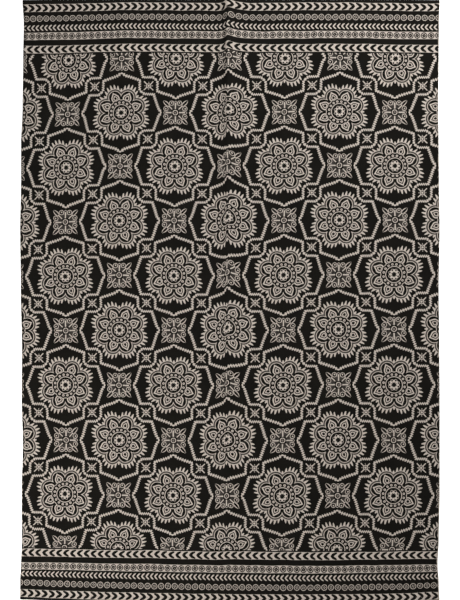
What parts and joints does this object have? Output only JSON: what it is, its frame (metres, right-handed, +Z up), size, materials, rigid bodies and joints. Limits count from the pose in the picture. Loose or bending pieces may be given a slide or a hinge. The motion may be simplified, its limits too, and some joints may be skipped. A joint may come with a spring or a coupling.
{
  "type": "printed cotton rug",
  "caption": "Flat-woven cotton rug, block-printed in cream on black with medallions, a zigzag trellis and banded ends.",
  "frame": {"origin": "on the floor under the middle of the rug", "axes": "+Y along the length, towards the end where the middle fold stands highest; +X across the width; +Z up from the floor, towards the printed side"},
  "size_m": [1.3981, 2.0172, 0.0277],
  "materials": {
    "printed_cotton": "matte"
  },
  "bodies": {
    "root": {"rug": "printed_cotton"}
  },
  "joints": []
}
